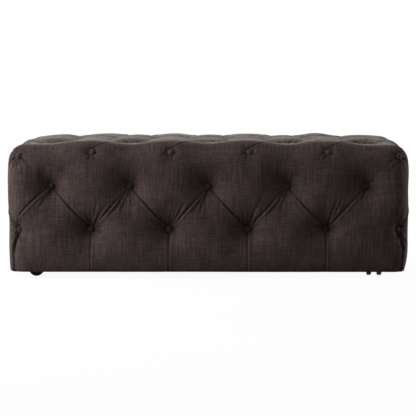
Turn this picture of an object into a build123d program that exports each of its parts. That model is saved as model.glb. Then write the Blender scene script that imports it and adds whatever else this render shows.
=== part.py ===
from build123d import *
import os
from math import asin, cos, pi, radians, sin, sqrt

# Tufted ottoman: a long fabric-covered box, button-tufted on its top and four sides, on hidden swivel casters.
# Millimetres. The origin is on the floor under the middle, X runs along the length, -Y is the front, Z is up.

# Outside of the upholstery, over the crests of the tufts
LENGTH = 1310.0
DEPTH = 790.0
HEIGHT = 445.0
HEM_HEIGHT = 24.0
EDGE_RADIUS = 58.0

# Tufting: diamonds along the length and the depth, and where their buttons stand
TUFTS_LONG = 5
TUFTS_DEEP = 3
EDGE_TO_TUFT = 145.0
SIDE_ROW_DROP = 140.0
BUTTON_SINK = 28.0
PLEAT_RISE = 13.0
HEM_DRAW = 10.0
HEM_PLEAT = 4.0
STEPS = 3
EDGE_STEP_POWER = 0.8
PUFF_POWER = 0.8

# Soft layers
FABRIC = 2.0
SOFT_GAP = 0.3
SIDE_PADDING = 42.0
TOP_PADDING = 70.0

# Covered buttons, twine and nails
BUTTON_RADIUS = 11.0
BUTTON_DOME = 5.0
BUTTON_BACK_SLOPE = 0.6
BUTTON_SEAT_GAP = 0.4
CORNER_SEAT_LIFT = 6.5
TWINE_RADIUS = 1.0
TWINE_HOLE_RADIUS = 1.6
KNOT_RADIUS = 3.5
KNOT_LENGTH = 4.0
NAIL_RADIUS = 1.2
NAIL_LENGTH = 45.0

# Wooden frame
PANEL_THICKNESS = 9.0
DECK_THICKNESS = 15.0
BASE_THICKNESS = 18.0
POST_SIZE = 30.0
RAIL_THICKNESS = 20.0
BOTTOM_RAIL_HEIGHT = 40.0
TOP_RAIL_HEIGHT = 45.0
BEARER_THICKNESS = 30.0
BEARER_OFFSET = 190.0
DUST_COVER = 0.8

# Frame screws and hem staples
SCREW_RADIUS = 2.0
SCREW_HEAD_RADIUS = 4.0
SCREW_HEAD = 2.5
SCREW_LENGTH = 38.0
SCREW_PITCH = 220.0
PANEL_SCREW_LENGTH = 20.0
PANEL_SCREW_SHIFT = 30.0
STAPLE_WIRE = 0.9
STAPLE_WIDTH = 10.0
STAPLE_LEG = 9.0
STAPLE_PITCH = 60.0

# Twin-wheel casters
CASTER_INSET = 108.0
CASTER_HEIGHT = 62.0
CASTER_PLATE = 44.0
CASTER_PLATE_THICKNESS = 2.5
PLATE_SCREW_INSET = 6.5
PLATE_SCREW_LENGTH = 14.0
PLATE_CUT_GAP = 1.0
CASTER_TRAIL = 21.0
WHEEL_RADIUS = 25.0
WHEEL_WIDTH = 15.0
WHEEL_SPACING = 34.0
TREAD_ROUNDING = 4.0
WHEEL_DISH_RADIUS = 16.0
WHEEL_DISH = 2.0
WHEEL_SIDE_GAP = 0.6
AXLE_RADIUS = 3.0
AXLE_REACH = 11.0
STEM_RADIUS = 5.0
STEM_END_GAP = 1.0
STEM_DEPTH = 28.0
RUNNING_FIT = 0.05
THRUST_GAP = 0.4
HOOD_GAP = 1.2
HOOD_WALL = 1.8
HOOD_LIFT = 20.0
CASTER_BODY_CUT = 14.0
CASTER_HEADINGS = {"front_left": 180, "front_right": 90, "rear_left": 90, "rear_right": 180}

# Places that follow from the sizes above
HALF_LENGTH = LENGTH / 2
HALF_DEPTH = DEPTH / 2
DECK_TOP = HEIGHT - TOP_PADDING
DECK_BOTTOM = DECK_TOP - DECK_THICKNESS
BASE_TOP = CASTER_HEIGHT + BASE_THICKNESS
FRAME_X = HALF_LENGTH - SIDE_PADDING
FRAME_Y = HALF_DEPTH - SIDE_PADDING
INSIDE_X = FRAME_X - PANEL_THICKNESS
INSIDE_Y = FRAME_Y - PANEL_THICKNESS
POST_X = INSIDE_X - POST_SIZE
POST_Y = INSIDE_Y - POST_SIZE
RAIL_X = INSIDE_X - RAIL_THICKNESS
RAIL_Y = INSIDE_Y - RAIL_THICKNESS
PANEL_BOTTOM = HEM_HEIGHT + FABRIC + SOFT_GAP
UPPER_ROW = HEIGHT - EDGE_TO_TUFT
LOWER_ROW = UPPER_ROW - SIDE_ROW_DROP
CASTER_X = HALF_LENGTH - CASTER_INSET
CASTER_Y = HALF_DEPTH - CASTER_INSET
SIDE_STEPS = 3 * STEPS
LONG_STEPS = 2 * TUFTS_LONG * STEPS
DEEP_STEPS = 2 * TUFTS_DEEP * STEPS

nodes = {}


def bar(x0, x1, y0, y1, z0, z1):
    """A square-edged bar or board between two corners."""
    return Pos((x0 + x1) / 2, (y0 + y1) / 2, (z0 + z1) / 2) * Box(x1 - x0, y1 - y0, z1 - z0)


def rod(start, direction, length, radius):
    """A round rod from a point along a direction."""
    return Solid.make_cylinder(radius, length, Plane(origin=start, z_dir=direction))


# Tufted skin: lattice places count half diamonds, with a button wherever the two counts add to an even number.


def across(place, tufts, half):
    """Distance from the middle of a face to a lattice place, before the edges are rounded."""
    reach = half - EDGE_TO_TUFT
    from_middle = place - tufts
    within = min(abs(from_middle), tufts - 1)
    past = abs(from_middle) - within
    distance = reach * within / (tufts - 1) + EDGE_TO_TUFT * past**EDGE_STEP_POWER
    return distance if from_middle > 0 else -distance


def level(row, inset):
    """Height of a row on the sides: 0 is the top edge, 1 the upper and 2 the lower buttons, 3 the hem."""
    if row <= 1:
        return UPPER_ROW + EDGE_TO_TUFT * (1 - row) ** EDGE_STEP_POWER
    if row <= 2:
        return UPPER_ROW - SIDE_ROW_DROP * (row - 1)
    return LOWER_ROW - (LOWER_ROW - HEM_HEIGHT - inset) * (row - 2)


def tuft_sink(u, v):
    """How far the skin is drawn in from its crests: least amid a diamond, more on a pleat, most at a button."""
    p = abs(sin(pi * (u + v) / 2))
    q = abs(sin(pi * (u - v) / 2))
    puff = (BUTTON_SINK - PLEAT_RISE) * (p * q) ** PUFF_POWER
    return BUTTON_SINK - puff - PLEAT_RISE * (p + q - p * q)


def side_sink(u, row):
    """The same on a side, where straight pleats run from the lower buttons down to the drawn-in hem."""
    if row <= 2:
        return tuft_sink(u, row)
    crest = abs(sin(pi * u / 2))
    hem = HEM_DRAW + HEM_PLEAT * (1 - crest)
    share = (row - 2) ** (0.6 + 1.4 * crest)
    return tuft_sink(u, 2) * (1 - share) + hem * share


def rounded(x, y, z, sink):
    """Moves a point of the sharp box onto the rounded box, then in by sink; also gives the way out."""
    limit_x = HALF_LENGTH - EDGE_RADIUS
    limit_y = HALF_DEPTH - EDGE_RADIUS
    core = Vector(max(-limit_x, min(limit_x, x)), max(-limit_y, min(limit_y, y)), min(z, HEIGHT - EDGE_RADIUS))
    out = (Vector(x, y, z) - core).normalized()
    return core + out * (EDGE_RADIUS - sink), out


def top_point(u, v, inset):
    x = across(u, TUFTS_LONG, HALF_LENGTH)
    y = across(v, TUFTS_DEEP, HALF_DEPTH)
    return rounded(x, y, HEIGHT, tuft_sink(u, v) + inset)[0]


def long_point(side, u, row, inset):
    x = across(u, TUFTS_LONG, HALF_LENGTH)
    return rounded(x, side * HALF_DEPTH, level(row, inset), side_sink(u, row) + inset)[0]


def end_point(side, v, row, inset):
    y = across(v, TUFTS_DEEP, HALF_DEPTH)
    return rounded(side * HALF_LENGTH, y, level(row, inset), side_sink(v, row) + inset)[0]


def along_top(u, inset):
    return [top_point(u, j / STEPS, inset) for j in range(DEEP_STEPS + 1)]


def down_long(side, u, inset):
    return [long_point(side, u, j / STEPS, inset) for j in range(SIDE_STEPS + 1)]


def down_end(side, v, inset):
    return [end_point(side, v, j / STEPS, inset) for j in range(SIDE_STEPS + 1)]


def under_long(side, u, margin, z):
    """A point behind a long side, a margin in from its crests, mitred at the corners."""
    x = across(u, TUFTS_LONG, HALF_LENGTH) * (HALF_LENGTH - margin) / HALF_LENGTH
    return Vector(x, side * (HALF_DEPTH - margin), z)


def under_end(side, v, margin, z):
    y = across(v, TUFTS_DEEP, HALF_DEPTH) * (HALF_DEPTH - margin) / HALF_DEPTH
    return Vector(side * (HALF_LENGTH - margin), y, z)


def skin_loft(sections):
    """One solid, ruled from section to section, each a closed outline of straight lines."""
    return Solid.make_loft([Wire.make_polygon(points, close=True) for points in sections], ruled=True)


def long_places():
    return [k / STEPS for k in range(LONG_STEPS + 1)]


def deep_places():
    return [k / STEPS for k in range(DEEP_STEPS + 1)]


# Foam pads, mitred where they meet


def top_pad(inset):
    sections = []
    for u in long_places():
        rear = under_long(1, u, TOP_PADDING, DECK_TOP)
        front = under_long(-1, u, TOP_PADDING, DECK_TOP)
        sections.append(along_top(u, inset) + [rear, front])
    return skin_loft(sections)


def side_pad(outer, under, places, inset):
    sections = []
    for place in places:
        seat = under(place, SIDE_PADDING, HEM_HEIGHT + inset)
        corner = under(place, SIDE_PADDING, DECK_TOP)
        ledge = under(place, TOP_PADDING, DECK_TOP)
        sections.append(outer(place, inset) + [seat, corner, ledge])
    return skin_loft(sections)


def long_pad(side, inset):
    return side_pad(
        lambda u, inner: down_long(side, u, inner),
        lambda u, margin, z: under_long(side, u, margin, z),
        long_places(),
        inset,
    )


def end_pad(side, inset):
    return side_pad(
        lambda v, inner: down_end(side, v, inner),
        lambda v, margin, z: under_end(side, v, margin, z),
        deep_places(),
        inset,
    )


def make_pads():
    inset = FABRIC + SOFT_GAP
    nodes["top_pad"] = top_pad(inset)
    nodes["front_pad"] = long_pad(-1, inset)
    nodes["rear_pad"] = long_pad(1, inset)
    nodes["left_pad"] = end_pad(-1, inset)
    nodes["right_pad"] = end_pad(1, inset)


# Fabric cover: five panels joined into one, with the hem turned under the side panels


def side_cover(outer, under, places):
    reach = SIDE_PADDING + PANEL_THICKNESS
    sections = []
    for place in places:
        hem = [under(place, reach, HEM_HEIGHT), under(place, reach, HEM_HEIGHT + FABRIC)]
        sections.append(outer(place, 0) + hem + outer(place, FABRIC)[::-1])
    return skin_loft(sections)


def make_cover():
    panels = [skin_loft([along_top(u, 0) + along_top(u, FABRIC)[::-1] for u in long_places()])]
    for side in (-1, 1):
        panels.append(
            side_cover(
                lambda u, inset: down_long(side, u, inset),
                lambda u, margin, z: under_long(side, u, margin, z),
                long_places(),
            )
        )
        panels.append(
            side_cover(
                lambda v, inset: down_end(side, v, inset),
                lambda v, margin, z: under_end(side, v, margin, z),
                deep_places(),
            )
        )
    nodes["cover"] = panels[0].fuse(*panels[1:])


# Buttons, each at the bottom of its pit, and what holds them


def skin_at(x, y, z):
    return rounded(x, y, z, BUTTON_SINK)


def top_buttons():
    seats = []
    for u in range(1, 2 * TUFTS_LONG):
        for v in range(1, 2 * TUFTS_DEEP):
            if (u + v) % 2 == 0:
                x = across(u, TUFTS_LONG, HALF_LENGTH)
                y = across(v, TUFTS_DEEP, HALF_DEPTH)
                seats.append(skin_at(x, y, HEIGHT))
    return seats


def ring_buttons(first, z):
    """Buttons round all four sides at one height, without the corners; first is 1 or 2."""
    seats = []
    for side in (-1, 1):
        for u in range(first, 2 * TUFTS_LONG, 2):
            seats.append(skin_at(across(u, TUFTS_LONG, HALF_LENGTH), side * HALF_DEPTH, z))
        for v in range(first, 2 * TUFTS_DEEP, 2):
            seats.append(skin_at(side * HALF_LENGTH, across(v, TUFTS_DEEP, HALF_DEPTH), z))
    return seats


def corner_buttons(z, lift):
    """Buttons at the four upright edges, lifted off the steeper bottoms of their pits."""
    seats = [skin_at(i * HALF_LENGTH, j * HALF_DEPTH, z) for i in (-1, 1) for j in (-1, 1)]
    return [(point + out * lift, out) for point, out in seats]


def edge_buttons():
    return ring_buttons(2, HEIGHT) + corner_buttons(HEIGHT, CORNER_SEAT_LIFT)


def make_button():
    """A covered button on the Z axis, its tapered back just off the bottom of the pit at the origin."""
    rim = BUTTON_SEAT_GAP + BUTTON_RADIUS * BUTTON_BACK_SLOPE
    top = rim + BUTTON_DOME
    ball = (BUTTON_RADIUS**2 + BUTTON_DOME**2) / (2 * BUTTON_DOME)
    half_angle = asin(BUTTON_RADIUS / ball) / 2
    midway = (ball * sin(half_angle), 0, top - ball * (1 - cos(half_angle)))
    outline = Polyline((0, 0, top), (0, 0, BUTTON_SEAT_GAP), (BUTTON_RADIUS, 0, rim))
    crown = ThreePointArc((BUTTON_RADIUS, 0, rim), midway, (0, 0, top))
    return revolve(make_face([outline, crown]), Axis.Z)


def seated(shape, seat):
    point, out = seat
    return Plane(origin=point, z_dir=out) * shape


def twine(seat, reach):
    """Twine from a button's back to a board's far side, a reach along it, with a knot that bears on the board."""
    point, out = seat
    start = point + out * BUTTON_SEAT_GAP
    steepness = max(abs(out.X), abs(out.Y), abs(out.Z))
    lean = KNOT_RADIUS * sqrt(1 - steepness**2) / steepness
    cord = rod(start, out * -1, BUTTON_SEAT_GAP + reach + lean, TWINE_RADIUS)
    knot = rod(point - out * (reach + lean), out * -1, KNOT_LENGTH, KNOT_RADIUS)
    return cord.fuse(knot)


def deck_reach(seat):
    point, out = seat
    return (point.Z - DECK_BOTTOM) / out.Z


def panel_reach(seat):
    point, out = seat
    if abs(out.X) > abs(out.Y):
        return abs(point.X) - INSIDE_X
    return abs(point.Y) - INSIDE_Y


def twine_hole(seat, reach):
    point, out = seat
    return rod(point, out * -1, reach + KNOT_LENGTH, TWINE_HOLE_RADIUS)


def make_buttons():
    button = make_button()
    edge = edge_buttons()
    sides = ring_buttons(1, UPPER_ROW) + ring_buttons(2, LOWER_ROW)
    corners = corner_buttons(LOWER_ROW, 0)
    nodes["top_buttons"] = Compound([seated(button, seat) for seat in top_buttons()])
    nodes["edge_buttons"] = Compound([seated(button, seat) for seat in edge])
    nodes["side_buttons"] = Compound([seated(button, seat) for seat in sides + corners])
    held_by_deck = [twine(seat, deck_reach(seat)) for seat in top_buttons() + edge]
    held_by_panels = [twine(seat, panel_reach(seat)) for seat in sides]
    nodes["tufting_twines"] = Compound(held_by_deck + held_by_panels)
    nails = [rod(point + out * BUTTON_SEAT_GAP, out * -1, NAIL_LENGTH, NAIL_RADIUS) for point, out in corners]
    nodes["corner_button_nails"] = Compound(nails)


# Wooden frame


def make_frame():
    deck = bar(-FRAME_X, FRAME_X, -FRAME_Y, FRAME_Y, DECK_BOTTOM, DECK_TOP)
    edge = edge_buttons()
    nodes["top_deck"] = deck - [twine_hole(seat, deck_reach(seat)) for seat in top_buttons() + edge]
    holes = [twine_hole(seat, panel_reach(seat)) for seat in ring_buttons(1, UPPER_ROW) + ring_buttons(2, LOWER_ROW)]
    panels = {
        "front_panel": bar(-FRAME_X, FRAME_X, -FRAME_Y, -INSIDE_Y, PANEL_BOTTOM, DECK_BOTTOM),
        "rear_panel": bar(-FRAME_X, FRAME_X, INSIDE_Y, FRAME_Y, PANEL_BOTTOM, DECK_BOTTOM),
        "left_panel": bar(-FRAME_X, -INSIDE_X, -INSIDE_Y, INSIDE_Y, PANEL_BOTTOM, DECK_BOTTOM),
        "right_panel": bar(INSIDE_X, FRAME_X, -INSIDE_Y, INSIDE_Y, PANEL_BOTTOM, DECK_BOTTOM),
    }
    for name, panel in panels.items():
        nodes[name] = panel - holes
    for name, i, j in (("front_left", -1, -1), ("front_right", 1, -1), ("rear_left", -1, 1), ("rear_right", 1, 1)):
        x0, x1 = sorted((i * POST_X, i * INSIDE_X))
        y0, y1 = sorted((j * POST_Y, j * INSIDE_Y))
        nodes[name + "_post"] = bar(x0, x1, y0, y1, BASE_TOP, DECK_BOTTOM)
    for place, z0, z1 in (
        ("bottom", BASE_TOP, BASE_TOP + BOTTOM_RAIL_HEIGHT),
        ("top", DECK_BOTTOM - TOP_RAIL_HEIGHT, DECK_BOTTOM),
    ):
        nodes[f"front_{place}_rail"] = bar(-POST_X, POST_X, -INSIDE_Y, -RAIL_Y, z0, z1)
        nodes[f"rear_{place}_rail"] = bar(-POST_X, POST_X, RAIL_Y, INSIDE_Y, z0, z1)
        nodes[f"left_{place}_rail"] = bar(-INSIDE_X, -RAIL_X, -POST_Y, POST_Y, z0, z1)
        nodes[f"right_{place}_rail"] = bar(RAIL_X, INSIDE_X, -POST_Y, POST_Y, z0, z1)
    for name, i in (("left", -1), ("right", 1)):
        x0 = i * BEARER_OFFSET - BEARER_THICKNESS / 2
        x1 = x0 + BEARER_THICKNESS
        nodes[f"{name}_deck_bearer"] = bar(x0, x1, -RAIL_Y, RAIL_Y, DECK_BOTTOM - TOP_RAIL_HEIGHT, DECK_BOTTOM)


def spread(reach, pitch):
    """Even places between two ends, about a pitch apart and half a step in from each end."""
    count = max(1, round(2 * reach / pitch))
    return [reach * ((2 * k + 1) / count - 1) for k in range(count)]


def screw(point, direction, length):
    """A screw driven flush, its head at the point."""
    shank = rod(point, direction, length, SCREW_RADIUS)
    return shank.fuse(rod(point, direction, SCREW_HEAD, SCREW_HEAD_RADIUS))


def make_frame_screws():
    """Deck and base board screwed to their rails, and the panels screwed to the top and bottom rails."""
    rail_y = INSIDE_Y - RAIL_THICKNESS / 2
    rail_x = INSIDE_X - RAIL_THICKNESS / 2
    up = Vector(0, 0, 1)
    upright = []
    for side in (-1, 1):
        places = [(x, side * rail_y) for x in spread(POST_X, SCREW_PITCH)]
        places += [(side * rail_x, y) for y in spread(POST_Y, SCREW_PITCH)]
        for x, y in places:
            upright.append(screw(Vector(x, y, DECK_TOP), up * -1, SCREW_LENGTH))
            upright.append(screw(Vector(x, y, CASTER_HEIGHT), up, SCREW_LENGTH))
    nodes["deck_and_base_screws"] = Compound(upright)
    level_with_rail = []
    for z in (BASE_TOP + BOTTOM_RAIL_HEIGHT / 2, DECK_BOTTOM - TOP_RAIL_HEIGHT / 2):
        for side in (-1, 1):
            for x in spread(POST_X, SCREW_PITCH):
                head = Vector(x + PANEL_SCREW_SHIFT, side * FRAME_Y, z)
                level_with_rail.append(screw(head, Vector(0, -side, 0), PANEL_SCREW_LENGTH))
            for y in spread(POST_Y, SCREW_PITCH):
                head = Vector(side * FRAME_X, y + PANEL_SCREW_SHIFT, z)
                level_with_rail.append(screw(head, Vector(-side, 0, 0), PANEL_SCREW_LENGTH))
    nodes["panel_screws"] = Compound(level_with_rail)


# Underside


def caster_places():
    for name, i, j in (("front_left", -1, -1), ("front_right", 1, -1), ("rear_left", -1, 1), ("rear_right", 1, 1)):
        yield name, Vector(i * CASTER_X, j * CASTER_Y, 0)


def plate_corners():
    offset = CASTER_PLATE / 2 - PLATE_SCREW_INSET
    return [Vector(i * offset, j * offset, 0) for i in (-1, 1) for j in (-1, 1)]


def make_underside():
    board = bar(-INSIDE_X, INSIDE_X, -INSIDE_Y, INSIDE_Y, CASTER_HEIGHT, BASE_TOP)
    sheet = bar(-INSIDE_X, INSIDE_X, -INSIDE_Y, INSIDE_Y, CASTER_HEIGHT - DUST_COVER, CASTER_HEIGHT)
    opening = CASTER_PLATE / 2 + PLATE_CUT_GAP
    screws = []
    for _, place in caster_places():
        sheet -= bar(
            place.X - opening,
            place.X + opening,
            place.Y - opening,
            place.Y + opening,
            CASTER_HEIGHT - DUST_COVER,
            CASTER_HEIGHT,
        )
        for corner in plate_corners():
            low = place + corner + Vector(0, 0, CASTER_HEIGHT - CASTER_PLATE_THICKNESS)
            shank = rod(low, (0, 0, 1), PLATE_SCREW_LENGTH, SCREW_RADIUS)
            board -= shank
            screws.append(shank.fuse(rod(low - Vector(0, 0, SCREW_HEAD), (0, 0, 1), SCREW_HEAD, SCREW_HEAD_RADIUS)))
    nodes["base_board"] = board
    nodes["dust_cover"] = sheet
    nodes["caster_screws"] = Compound(screws)


def staple(x, y, along_x):
    """A staple under the hem: a flat crown with two legs driven up into a side panel."""
    half = STAPLE_WIDTH / 2
    crown = bar(-half, half, -STAPLE_WIRE / 2, STAPLE_WIRE / 2, HEM_HEIGHT - STAPLE_WIRE, HEM_HEIGHT)
    leg = bar(-half, -half + STAPLE_WIRE, -STAPLE_WIRE / 2, STAPLE_WIRE / 2, HEM_HEIGHT, HEM_HEIGHT + STAPLE_LEG)
    other = Pos(STAPLE_WIDTH - STAPLE_WIRE, 0, 0) * leg
    turn = 0 if along_x else 90
    return Pos(x, y, 0) * Rot(0, 0, turn) * (crown + leg + other)


def make_staples():
    row_y = FRAME_Y - PANEL_THICKNESS / 2
    row_x = FRAME_X - PANEL_THICKNESS / 2
    staples = []
    for side in (-1, 1):
        staples += [staple(x, side * row_y, True) for x in spread(FRAME_X, STAPLE_PITCH)]
        staples += [staple(side * row_x, y, False) for y in spread(INSIDE_Y, STAPLE_PITCH)]
    nodes["hem_staples"] = Compound(staples)


# Casters, made about a swivel axis at the origin with the wheels trailing along +X


def caster_plate():
    plate = Box(CASTER_PLATE, CASTER_PLATE, CASTER_PLATE_THICKNESS)
    plate = fillet(plate.edges().filter_by(Axis.Z), PLATE_SCREW_INSET / 2)
    plate = Pos(0, 0, CASTER_HEIGHT - CASTER_PLATE_THICKNESS / 2) * plate
    low = Vector(0, 0, CASTER_HEIGHT - CASTER_PLATE_THICKNESS)
    holes = [rod(low + corner, (0, 0, 1), CASTER_PLATE_THICKNESS, SCREW_RADIUS) for corner in plate_corners()]
    return plate - holes - rod(low, (0, 0, 1), CASTER_PLATE_THICKNESS, STEM_RADIUS)


def caster_stem():
    return rod((0, 0, CASTER_HEIGHT - STEM_DEPTH), (0, 0, 1), STEM_DEPTH, STEM_RADIUS)


def caster_body():
    """The part between the wheels with its stem socket and the hood over the treads."""
    thickness = WHEEL_SPACING - WHEEL_WIDTH - 2 * WHEEL_SIDE_GAP
    width = WHEEL_SPACING + WHEEL_WIDTH
    hood_inside = WHEEL_RADIUS + HOOD_GAP
    hood_outside = hood_inside + HOOD_WALL
    across_axle = Vector(0, 1, 0)
    hub = Vector(CASTER_TRAIL, 0, WHEEL_RADIUS)
    disc = rod(hub - across_axle * (thickness / 2), across_axle, thickness, hood_outside)
    disc -= bar(-HALF_LENGTH, HALF_LENGTH, -width, width, -WHEEL_RADIUS, CASTER_BODY_CUT)
    hood = rod(hub - across_axle * (width / 2), across_axle, width, hood_outside)
    hood -= rod(hub - across_axle * (width / 2), across_axle, width, hood_inside)
    lift = WHEEL_RADIUS + hood_outside * sin(radians(HOOD_LIFT))
    hood -= bar(-HALF_LENGTH, HALF_LENGTH, -width, width, -WHEEL_RADIUS, lift)
    top = CASTER_HEIGHT - CASTER_PLATE_THICKNESS - THRUST_GAP
    floor = CASTER_HEIGHT - STEM_DEPTH - STEM_END_GAP
    socket = rod((0, 0, floor - thickness / 4), (0, 0, 1), top - floor + thickness / 4, thickness / 2)
    body = disc + hood + socket
    body -= rod((0, 0, floor), (0, 0, 1), STEM_DEPTH + STEM_END_GAP, STEM_RADIUS + RUNNING_FIT)
    return body - rod(hub - across_axle * thickness, across_axle, 2 * thickness, AXLE_RADIUS)


def caster_axle():
    half = (WHEEL_SPACING - WHEEL_WIDTH) / 2 + AXLE_REACH
    return rod((CASTER_TRAIL, -half, WHEEL_RADIUS), (0, 1, 0), 2 * half, AXLE_RADIUS)


def caster_wheel(side):
    """One wheel: a rounded tread, a dished outer face and a blind bore for the axle."""
    middle = side * WHEEL_SPACING / 2
    half = WHEEL_WIDTH / 2
    start = Vector(CASTER_TRAIL, middle - half, WHEEL_RADIUS)
    wheel = rod(start, (0, 1, 0), WHEEL_WIDTH, WHEEL_RADIUS)
    wheel = Part(wheel.wrapped)
    wheel = fillet(wheel.edges().filter_by(GeomType.CIRCLE), TREAD_ROUNDING)
    outer_face = Vector(CASTER_TRAIL, middle + side * half, WHEEL_RADIUS)
    inner_face = Vector(CASTER_TRAIL, middle - side * half, WHEEL_RADIUS)
    out = Vector(0, side, 0)
    wheel -= rod(outer_face, out * -1, WHEEL_DISH, WHEEL_DISH_RADIUS)
    return wheel - rod(inner_face, out, AXLE_REACH + WHEEL_SIDE_GAP, AXLE_RADIUS + RUNNING_FIT)


def make_casters():
    for name, place in caster_places():
        fixed = Pos(place.X, place.Y, 0)
        turned = fixed * Rot(0, 0, CASTER_HEADINGS[name])
        nodes[name + "_caster_plate"] = fixed * caster_plate()
        nodes[name + "_caster_stem"] = fixed * caster_stem()
        nodes[name + "_caster_body"] = turned * caster_body()
        nodes[name + "_caster_axle"] = turned * caster_axle()
        nodes[name + "_wheel_a"] = turned * caster_wheel(1)
        nodes[name + "_wheel_b"] = turned * caster_wheel(-1)


def main():
    make_pads()
    make_cover()
    make_buttons()
    make_frame()
    make_frame_screws()
    make_underside()
    make_staples()
    make_casters()
    os.makedirs("parts", exist_ok=True)
    for name, shape in nodes.items():
        export_step(shape, f"parts/{name}.step")


main()
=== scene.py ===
import math
from collections import namedtuple

import bmesh
import bpy
import numpy as np
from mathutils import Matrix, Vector


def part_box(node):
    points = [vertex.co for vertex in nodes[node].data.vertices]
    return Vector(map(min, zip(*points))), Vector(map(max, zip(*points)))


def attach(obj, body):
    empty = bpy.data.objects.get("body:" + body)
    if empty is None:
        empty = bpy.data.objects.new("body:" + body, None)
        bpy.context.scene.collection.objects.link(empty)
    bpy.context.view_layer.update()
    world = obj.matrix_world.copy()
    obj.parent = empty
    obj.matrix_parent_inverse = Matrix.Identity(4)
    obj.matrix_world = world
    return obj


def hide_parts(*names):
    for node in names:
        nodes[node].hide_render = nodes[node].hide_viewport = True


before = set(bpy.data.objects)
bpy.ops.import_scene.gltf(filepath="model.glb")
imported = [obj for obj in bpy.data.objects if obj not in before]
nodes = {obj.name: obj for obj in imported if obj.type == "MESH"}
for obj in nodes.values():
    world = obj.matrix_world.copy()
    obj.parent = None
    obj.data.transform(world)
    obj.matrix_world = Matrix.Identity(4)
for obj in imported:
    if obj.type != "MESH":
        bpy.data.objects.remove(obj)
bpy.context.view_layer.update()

# Tufted ottoman: a long linen-covered box, button-tufted all over, on four twin-wheel casters.
# Metres. The origin is on the floor under the middle, -Y is the front, Z is up.

BODY = "ottoman"

# Outside of the upholstery and the frame behind it, read from the CAD part
cover_low, cover_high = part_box("cover")
HALF_LENGTH = cover_high.x
HALF_DEPTH = cover_high.y
HEIGHT = cover_high.z
HEM_HEIGHT = cover_low.z
DECK_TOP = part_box("top_deck")[1].z
TOP_PADDING = HEIGHT - DECK_TOP
SIDE_PADDING = HALF_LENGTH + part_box("left_panel")[0].x
PANEL_INSIDE = HALF_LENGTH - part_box("base_board")[1].x
EDGE_RADIUS = 0.058

# Tufting lattice, counted in half diamonds along each face and down it, or back over the top.
# Buttons stand where the two counts add up to an even number. Row 0 of the sides is the upper edge.
TUFTS_LONG = 5
TUFTS_DEEP = 3
UPPER_ROW = 1
LOWER_ROW = 2
HEM_ROW = 3
EDGE_TO_TUFT = 0.145
SIDE_ROW_DROP = 0.140
EDGE_STEP_POWER = 0.8
UPPER_LEVEL = HEIGHT - EDGE_TO_TUFT
LOWER_LEVEL = UPPER_LEVEL - SIDE_ROW_DROP
FACES = {
    "top": (2 * TUFTS_LONG, 2 * TUFTS_DEEP),
    "front": (2 * TUFTS_LONG, HEM_ROW),
    "rear": (2 * TUFTS_LONG, HEM_ROW),
    "left": (2 * TUFTS_DEEP, HEM_ROW),
    "right": (2 * TUFTS_DEEP, HEM_ROW),
}

# Faces whose triangles have to be turned over to look outward
TURNED = ("front", "right")

# How far edge and corner buttons stand from their lattice places, in half diamonds
EDGE_SHIFT = 0.2
EDGE_ASIDE = 0.045
CORNER_DROP = 0.34
CORNER_SHIFT = 0.2

# The way down the fabric, which leads to the front on the top face
DOWN_SIDES = np.array([0.0, 0.0, -1.0])
DOWN_TOP = np.array([0.0, -1.0, -1e-3])

# Pit round each kind of button: depth and reach, strength and reach of the shade painted round it, shade
# painted on the button
Pit = namedtuple("Pit", "depth reach shade shade_reach button_shade")
PITS = {
    "upper": Pit(0.033, 0.046, 0.6, 0.026, 0.75),
    "lower": Pit(0.033, 0.043, 0.55, 0.026, 0.75),
    "edge": Pit(0.016, 0.021, 0.9, 0.017, 0.2),
    "top": Pit(0.013, 0.050, 1.0, 0.050, 0.3),
    "corner_edge": Pit(0.017, 0.038, 0.9, 0.026, 0.3),
    "corner_lower": Pit(0.026, 0.034, 1.0, 0.026, 1.0),
}
PIT_POWER = 1.7

# Mesh of the fabric: steps in a half diamond, closer together near the buttons, and what counts as meeting
STEPS = 31
STEP_EASE = 0.2
MERGE = 1e-5

# Puffs: depth of the pleats below the crests, and the steps in from an edge over which it sets in
TOP_PILLOW = 0.017
TOP_PILLOW_RUN = (0.3, 1.3)
SIDE_PILLOW = 0.0025
SIDE_PILLOW_RUN = (0.5, 1.0)
PILLOW_POWER = 0.6

# Rise of the top padding, and the steps in from each edge that it takes
CROWN = 0.0085
CROWN_FRONT_RUN = 0.9
CROWN_REAR_RUN = 0.4
CROWN_END_RUN = 1.2

# Dips along the upper edges, and their reach in half diamonds
SCALLOP = 0.016
SIDE_SCALLOP_REACH = 0.5
TOP_SCALLOP_REACH = 0.75

# Pleats: a groove that fades at the buttons, with a lip that sets in over some steps from an edge.
# A lattice step across a slanting pleat is a strip wide, and across an upright one it is wider.
PLEAT_DEPTH = 0.0038
PLEAT_WIDTH = 0.0022
PLEAT_END_POWER = 0.3
LIP_SHARE = 0.6
LIP_OFFSET = 2.4 * PLEAT_WIDTH
LIP_WIDTH = 1.8 * PLEAT_WIDTH
LIP_RUN = 0.5
STRIP = 0.09
UPRIGHT_STRETCH = 1.4

# Strength of the pleats that rise and fall along a face: on the upper edges, over the top, on the sides
RISING_EDGE = 0.1
FALLING_EDGE = 0.8
EDGE_BLEND = 0.15
TOP_RISING = 0.5
TOP_RISING_FRONT = 0.1
TOP_RISING_REACH = 0.6
TOP_FALLING = 0.35
TOP_FALLING_FRONT = 1.0
TOP_FALLING_REACH = 0.32
SIDE_RUN = (0.9, 1.1)
SIDE_FAINT = 0.2
SIDE_FAINT_RUN = (0.3, 0.8)
FALLING_LEAST = 0.05
FALLING_END_RUN = (0.7, 1.0)

# Strength of the upright pleats: down to the hem, by the lower buttons and at the corners
UPRIGHT_PLEAT = 0.5
UPRIGHT_START = 1.0
CORNER_PLEAT = 2.2
UPRIGHT_REACH = 0.4
UPRIGHT_RUN = 1 / 12

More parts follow.
